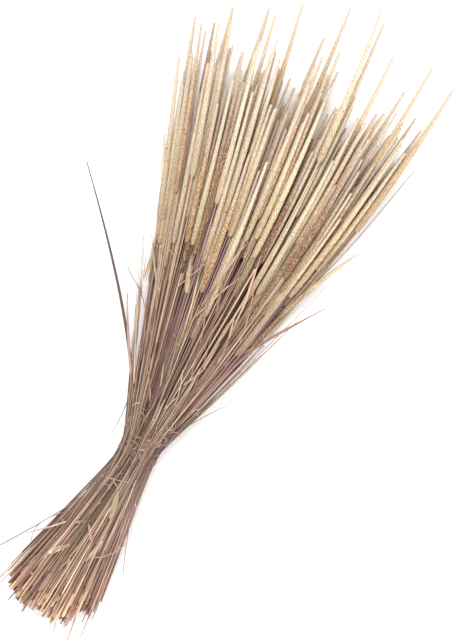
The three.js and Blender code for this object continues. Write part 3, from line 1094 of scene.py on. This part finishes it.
class TIMOTHY_OT_filler_stems(bpy.types.Operator):
    """Model the stems between those of the frame, in groups"""

    bl_idname = "timothy.filler_stems"
    bl_label = "Filler stems"

    def execute(self, context):
        settings = context.scene.timothy_stems
        chance = random.Random(settings.seed + 2)
        places = scatter_places(chance, settings.filler_count, WAIST_PLACES)
        places += scatter_places(
            chance, settings.top_count, [*WAIST_PLACES, *places], least=0.5, turns=(-0.3, math.pi + 0.1)
        )
        places += scatter_places(
            chance, settings.flank_count, [*WAIST_PLACES, *places], least=0.3, turns=(-0.25, 0.8)
        )
        places.sort(key=lambda place: math.atan2(*(place - THROAT_CENTRE)))
        culms, spikes = [], []
        for index, place in enumerate(places):
            culm, spike = self.add_stem(settings, chance, place)
            culms.append(culm)
            spikes.append(spike)
            if len(culms) == GROUP_OF_STEMS or index == len(places) - 1:
                number = index // GROUP_OF_STEMS + 1
                finish_piece(join_pieces(culms, f"filler_culms_{number:02d}"), "culm")
                finish_piece(join_pieces(spikes, f"filler_spikes_{number:02d}"), "spike")
                culms, spikes = [], []
        return {"FINISHED"}

    def add_stem(self, settings, chance, place):
        """One culm with its spike, from a place at the waist."""
        out = (place - THROAT_CENTRE) / THROAT_HALF
        tip = chance.triangular(*FILLER_TIPS) - 0.02 * abs(out[0]) ** 3
        length = chance.uniform(*FILLER_SPIKE_LENGTHS)
        neck = tip - length
        butt = BUTT_END + chance.triangular(*FILLER_BUTTS) + 0.02 * abs(out[0]) ** 2
        levels = [*culm_levels(butt, neck), neck, neck + 5 * MM]
        line = sway(line_through(place, levels), chance, 0.5 * MM)
        thick = chance.uniform(0.6, 1.0) * settings.butt_radius
        family, light = culm_look(chance)
        inside = np.hypot(*out) < INNER_REACH
        # Painted shade: culms inside the bundle get a lower brightness, as if shaded by the stems around
        # them.
        shade = INNER_PAINTED_SHADE if inside else 1.0
        radii = [thick * (1 - 0.3 * (y - butt) / (neck - butt)) for y in levels]
        culm = copy_along(
            chance.choice(masters()["culms"]),
            "filler_culm",
            above_surface(line, radii),
            [radius / CULM_MASTER_RADIUS for radius in radii],
            chance,
            (family, light * shade),
        )
        size = settings.filler_spike_radius * chance.uniform(0.86, 1.06)
        reach = [neck + length * share for share in (0, 0.05, 0.2, 0.4, 0.6, 0.8, 1)]
        line = sway(line_through(place, reach), chance, 0.5 * MM)
        hidden = inside and out[1] < -0.2
        master = chance.choice(masters()["inner" if hidden else "spikes"])
        line = above_surface(line, [size * 0.9] * len(line))
        radii = [size / SPIKE_MASTER_RADIUS * chance.uniform(0.96, 1.04) for _ in line]
        spike = copy_along(master, "filler_spike", line, radii, chance, spike_look(chance))
        return culm, spike


class TIMOTHY_OT_stray_stems(bpy.types.Operator):
    """Model the stems that have slipped down on the outside of the bundle"""

    bl_idname = "timothy.stray_stems"
    bl_label = "Stray stems"

    def execute(self, context):
        settings = context.scene.timothy_stems
        chance = random.Random(settings.seed + 5)
        thick = 0.9 * settings.butt_radius / CULM_MASTER_RADIUS
        full = settings.filler_spike_radius / SPIKE_MASTER_RADIUS
        for number, (culm_route, spike_route, look) in enumerate(STRAY_STEMS, start=1):
            culm, spike = masters()["culms"][number], masters()["spikes"][number % 3]
            halves = (
                ("culm", culm, culm_route, thick, culm_look(chance)),
                ("spike", spike, spike_route, full, look),
            )
            for slot, master, route, size, tone in halves:
                points = [(x, y, top_height(x, y) + z) for x, y, z in placed(route)]
                name = f"stray_{slot}_{number}"
                piece = copy_along(master, name, points, [size] * len(points), chance, tone)
                finish_piece(piece, slot)
        return {"FINISHED"}


class TIMOTHY_OT_straws(bpy.types.Operator):
    """Model the thin straws without a spike"""

    bl_idname = "timothy.straws"
    bl_label = "Thin straws"

    def execute(self, context):
        settings = context.scene.timothy_stems
        chance = random.Random(settings.seed + 3)
        places = scatter_places(chance, settings.straw_count, WAIST_PLACES, least=0.45)
        straws = []
        for index, place in enumerate(places):
            out = (place - THROAT_CENTRE) / THROAT_HALF
            butt = BUTT_END + chance.triangular(*STRAW_BUTTS) + 0.022 * (out @ out)
            end = TIE.y + chance.uniform(*STRAW_ENDS)
            levels = [*culm_levels(butt, end), end]
            other = chance.choice(places)
            if index % 3 == 0:
                place, other = over_tie(chance, chance.uniform(-0.1, math.pi + 0.1))
            elif np.linalg.norm(other - place) > 20 * MM:
                other = place
            line = sway(crossing_line(place, other, levels), chance, 0.9 * MM)
            thick = settings.straw_radius * chance.uniform(0.55, 1.25)
            radii = [thick] * len(line)
            line = above_surface(line, radii)
            radii = [radius / CULM_MASTER_RADIUS for radius in radii]
            master = masters()["straws"][0]
            straws.append(copy_along(master, "straw", line, radii, chance, culm_look(chance)))
            if len(straws) == GROUP_OF_STRAWS or index == len(places) - 1:
                number = index // GROUP_OF_STRAWS + 1
                finish_piece(join_pieces(straws, f"thin_straws_{number:02d}"), "culm")
                straws = []
        return {"FINISHED"}


class TIMOTHY_OT_leaf_blades(bpy.types.Operator):
    """Model the loose leaf blades of the frame"""

    bl_idname = "timothy.leaf_blades"
    bl_label = "Leaf blades"

    def execute(self, context):
        settings = context.scene.timothy_loose
        chance = random.Random(BLADE_SEED)
        for index, name in enumerate(BLADE_NODES):
            blade_line = FrameStem(name).rings
            share, turns, wave, look = BLADE_FORMS[index % len(BLADE_FORMS)]
            points = sway(blade_line[:, :3].tolist(), chance, wave * MM)
            length = float(np.linalg.norm(np.diff(blade_line[:, :3], axis=0), axis=1).sum())
            master = model_ribbon("blade_master", settings.blade_width * share, length, 0.5, turns)
            dry_name = name.replace("leaf_blade", "dry_blade")
            blade = copy_along(master, dry_name, points, [1] * len(points), chance, look)
            remove_pieces([master])
            finish_piece(blade, "leaf", [name])
        return {"FINISHED"}


class TIMOTHY_OT_sheath_leaves(bpy.types.Operator):
    """Model the dry sheath leaves that lie along the stems"""

    bl_idname = "timothy.sheath_leaves"
    bl_label = "Sheath leaves"

    def execute(self, context):
        settings = context.scene.timothy_loose
        chance = random.Random(LEAF_SEED)
        sheets = [
            model_ribbon(f"ribbon_master_{i}", 4.6 * MM, 120 * MM, 0.75, 0.25 + 0.3 * i)
            for i in range(3)
        ]
        leaves = []
        for _ in range(settings.ribbon_count):
            in_brush = chance.random() < 0.5
            start = TIE.y + chance.uniform(*(BRUSH_LEAF_STARTS if in_brush else FAN_LEAF_STARTS))
            length = chance.uniform(*LEAF_LENGTHS)
            levels = [start + length * step / 7 for step in range(8)]
            turn = chance.uniform(0.15, math.pi - 0.15)
            turns = (turn, turn + chance.uniform(-0.45, 0.45))
            line = crossing_line(*(at_waist(t, OUTSIDE * THROAT_HALF) for t in turns), levels)
            lift = chance.uniform(0, 7) * MM
            line = [[x, y, z + lift * (step / 7) ** 2] for step, (x, y, z) in enumerate(line)]
            wide = chance.uniform(0.3, 0.75)
            sheet = chance.choice(sheets)
            look = (chance.uniform(0.3, 0.9), chance.uniform(0.3, 1))
            line = above_surface(line, [2 * MM] * 8)
            leaves.append(copy_along(sheet, "sheath_leaf", line, [wide] * 8, chance, look))
        remove_pieces(sheets)
        finish_piece(join_pieces(leaves, "sheath_leaves"), "leaf")
        return {"FINISHED"}


class TIMOTHY_OT_flakes(bpy.types.Operator):
    """Model the flakes of broken sheath that lie on the stems"""

    bl_idname = "timothy.flakes"
    bl_label = "Sheath flakes"

    def execute(self, context):
        chance = random.Random(FLAKE_SEED)
        flakes = []
        for station, across, heading, length, width, look in FLAKES:
            turns = chance.uniform(-0.15, 0.15)
            master = model_ribbon("flake_master", width * MM, length * MM, 0.3, turns)
            turn = math.radians(heading)
            along = Vector((math.sin(turn), math.cos(turn), 0))
            middle = Vector((TIE.x + across * MM, TIE.y + station * MM, 0))
            points = []
            for share in (-0.5, -0.25, 0, 0.25, 0.5):
                spot = middle + along * (length * MM * share)
                height = top_height(spot.x, spot.y) + (5.5 + 6 * share**2) * MM
                points.append((spot.x, spot.y, height))
            flakes.append(copy_along(master, "flake", points, [1] * 5, chance, look))
            remove_pieces([master])
        finish_piece(join_pieces(flakes, "sheath_flakes"), "leaf")
        return {"FINISHED"}


class TIMOTHY_OT_fibres(bpy.types.Operator):
    """Model the small fibre curls and the hair-thin strands"""

    bl_idname = "timothy.fibres"
    bl_label = "Fibres"

    def execute(self, context):
        settings = context.scene.timothy_loose
        chance = random.Random(FIBRE_SEED)
        fibres = []
        for _ in range(settings.curl_count):
            by_tie = chance.random() < 0.55
            turn = chance.uniform(*((0.7, 2.6) if by_tie else (0.1, math.pi)))
            y = TIE.y + chance.uniform(*((0.006, 0.045) if by_tie else (-0.14, 0.2)))
            x, _, z = line_through(at_waist(turn, OUTSIDE * THROAT_HALF), [y])[0]
            heading = chance.uniform(0, math.tau)
            step = chance.uniform(*((1.4, 2.4) if by_tie else (0.8, 1.5))) * MM
            bend = chance.uniform(*((-0.6, 0.6) if by_tie else (-0.3, 0.3)))
            points = []
            for knot in range(chance.randint(5, 9)):
                points.append((x, y, z + 1.5 * MM + 1.5 * MM * math.sin(knot * 0.7)))
                x, y = x + step * math.cos(heading), y + step * math.sin(heading)
                heading += bend + chance.uniform(-0.25, 0.25)
            fibre = strand("fibre", points, chance.uniform(0.2, 0.4) * MM)
            tint(fibre, chance, (chance.uniform(0.15, 0.7) if by_tie else 1.0, chance.uniform(0.4, 1)))
            fibres.append(fibre)
        finish_piece(join_pieces(fibres, "fibre_curls"), "leaf")
        return {"FINISHED"}


class TIMOTHY_OT_loose_strands(bpy.types.Operator):
    """Model the thread-like strands that have slipped out of the bundle"""

    bl_idname = "timothy.loose_strands"
    bl_label = "Loose strands"

    def execute(self, context):
        chance = random.Random(STRAND_SEED)
        for number, (radius, tone, route) in enumerate(LOOSE_STRANDS, start=1):
            piece = strand("loose_strand", placed(route), radius * MM)
            tint(piece, chance, (tone, chance.uniform(0.4, 0.8)))
            piece.name = piece.data.name = f"loose_strand_{number:02d}"
            finish_piece(piece, "leaf")
        return {"FINISHED"}


class TIMOTHY_OT_tie(bpy.types.Operator):
    """Finish the thread that ties the bundle"""

    bl_idname = "timothy.tie"
    bl_label = "Tie"

    def execute(self, context):
        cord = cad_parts["tie_cord"]
        cord.data.materials.clear()
        cord.data.materials.append(finishes()["tie"])
        return {"FINISHED"}


def add_light(name, power, size, place):
    """A square soft light that points at the origin."""
    light = bpy.data.lights.new(name, "AREA")
    light.energy = power
    light.size = size
    lamp = add_object(name, light)
    lamp.location = place
    lamp.rotation_euler = (-Vector(place)).to_track_quat("-Z", "Y").to_euler()


class TIMOTHY_OT_stage(bpy.types.Operator):
    """Set up the floor, the soft light and the camera"""

    bl_idname = "timothy.stage"
    bl_label = "Stage"

    def execute(self, context):
        settings = context.scene.timothy_stage
        deselect_all()
        bpy.ops.mesh.primitive_plane_add(size=FLOOR_SIZE)
        floor = bpy.context.object
        floor.name = "floor"
        floor.data.materials.append(floor_finish(context.scene.timothy_colours.floor))
        add_light("key_light", settings.key_power, *KEY_LIGHT)
        add_light("fill_light", settings.fill_power, *FILL_LIGHT)
        world = bpy.data.worlds.new("soft_room")
        world.use_nodes = True
        sky = world.node_tree.nodes["Background"].inputs
        sky["Color"].default_value = (1, 1, 1, 1)
        sky["Strength"].default_value = settings.world_strength
        context.scene.world = world
        context.scene.view_settings.view_transform = "Standard"
        camera = bpy.data.cameras.new("camera")
        distance = settings.camera_height - BUNDLE_MIDDLE
        camera.sensor_width = 36
        camera.lens = camera.sensor_width * distance / settings.frame_height
        camera.clip_end = 20
        view = add_object("camera", camera)
        view.location = (*CAMERA_PLACE, settings.camera_height)
        view.rotation_euler = (0, 0, settings.camera_turn)
        context.scene.camera = view
        return {"FINISHED"}


class TIMOTHY_PT_panel(bpy.types.Panel):
    """Builds the bundle step by step"""

    bl_label = "Dried timothy bundle"
    bl_idname = "TIMOTHY_PT_panel"
    bl_space_type = "VIEW_3D"
    bl_region_type = "UI"
    bl_category = "Timothy"

    def draw(self, context):
        for group in ("timothy_stems", "timothy_loose", "timothy_colours", "timothy_stage"):
            settings = getattr(context.scene, group)
            box = self.layout.box()
            for name in settings.__annotations__:
                box.prop(settings, name)
        for operator in OPERATORS:
            self.layout.operator(operator.bl_idname)


OPERATORS = (
    TIMOTHY_OT_spikes,
    TIMOTHY_OT_culms,
    TIMOTHY_OT_filler_stems,
    TIMOTHY_OT_stray_stems,
    TIMOTHY_OT_straws,
    TIMOTHY_OT_leaf_blades,
    TIMOTHY_OT_sheath_leaves,
    TIMOTHY_OT_flakes,
    TIMOTHY_OT_fibres,
    TIMOTHY_OT_loose_strands,
    TIMOTHY_OT_tie,
    TIMOTHY_OT_stage,
)
GROUPS = {
    "timothy_stems": TimothyStemSettings,
    "timothy_loose": TimothyLooseSettings,
    "timothy_colours": TimothyColours,
    "timothy_stage": TimothyStageSettings,
}
CLASSES = (*GROUPS.values(), *OPERATORS, TIMOTHY_PT_panel)


def register():
    for cls in CLASSES:
        bpy.utils.register_class(cls)
    for name, group in GROUPS.items():
        setattr(bpy.types.Scene, name, bpy.props.PointerProperty(type=group))


def unregister():
    for name in GROUPS:
        delattr(bpy.types.Scene, name)
    for cls in reversed(CLASSES):
        bpy.utils.unregister_class(cls)


def main():
    register()
    bpy.ops.timothy.spikes()
    bpy.ops.timothy.culms()
    bpy.ops.timothy.filler_stems()
    bpy.ops.timothy.stray_stems()
    bpy.ops.timothy.straws()
    bpy.ops.timothy.leaf_blades()
    bpy.ops.timothy.sheath_leaves()
    bpy.ops.timothy.flakes()
    bpy.ops.timothy.fibres()
    bpy.ops.timothy.loose_strands()
    bpy.ops.timothy.tie()
    bpy.ops.timothy.stage()
    for group in ("spikes", "inner", "culms", "straws"):
        remove_pieces(SHARED.pop(group))


if __name__ == "__main__":
    main()
